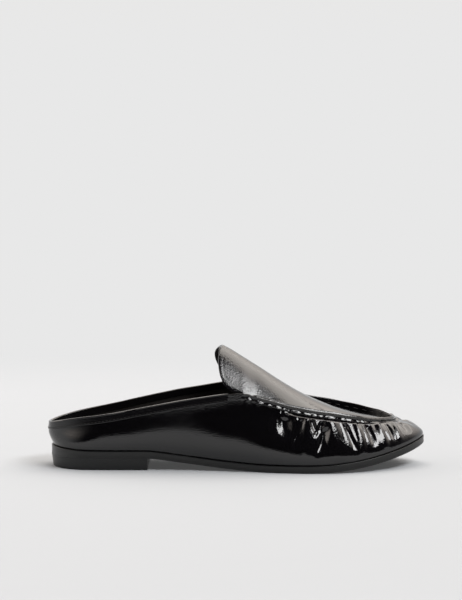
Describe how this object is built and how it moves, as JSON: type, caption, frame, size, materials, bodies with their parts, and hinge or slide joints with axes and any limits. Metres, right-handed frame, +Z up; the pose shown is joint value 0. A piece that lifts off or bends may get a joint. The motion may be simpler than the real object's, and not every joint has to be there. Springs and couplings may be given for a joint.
{
  "type": "mule shoe",
  "caption": "Low-backed slip-on shoe with a raised gathered toe seam, a stand-up tab over the instep, a bound collar, a thin sole and a low heel.",
  "frame": {"origin": "centre of the heel's tread, on the floor", "axes": "+X towards the toe, +Y towards the inner side of the foot, +Z up"},
  "size_m": [0.2662, 0.0891, 0.0848],
  "materials": {
    "sole": "satin",
    "sock": "matt",
    "leather": "polished",
    "binding": "polished"
  },
  "bodies": {
    "root": {"outsole": "sole", "heel": "sole", "insole": "sock", "upper": "leather", "apron": "leather", "collar_binding": "binding"}
  },
  "joints": []
}
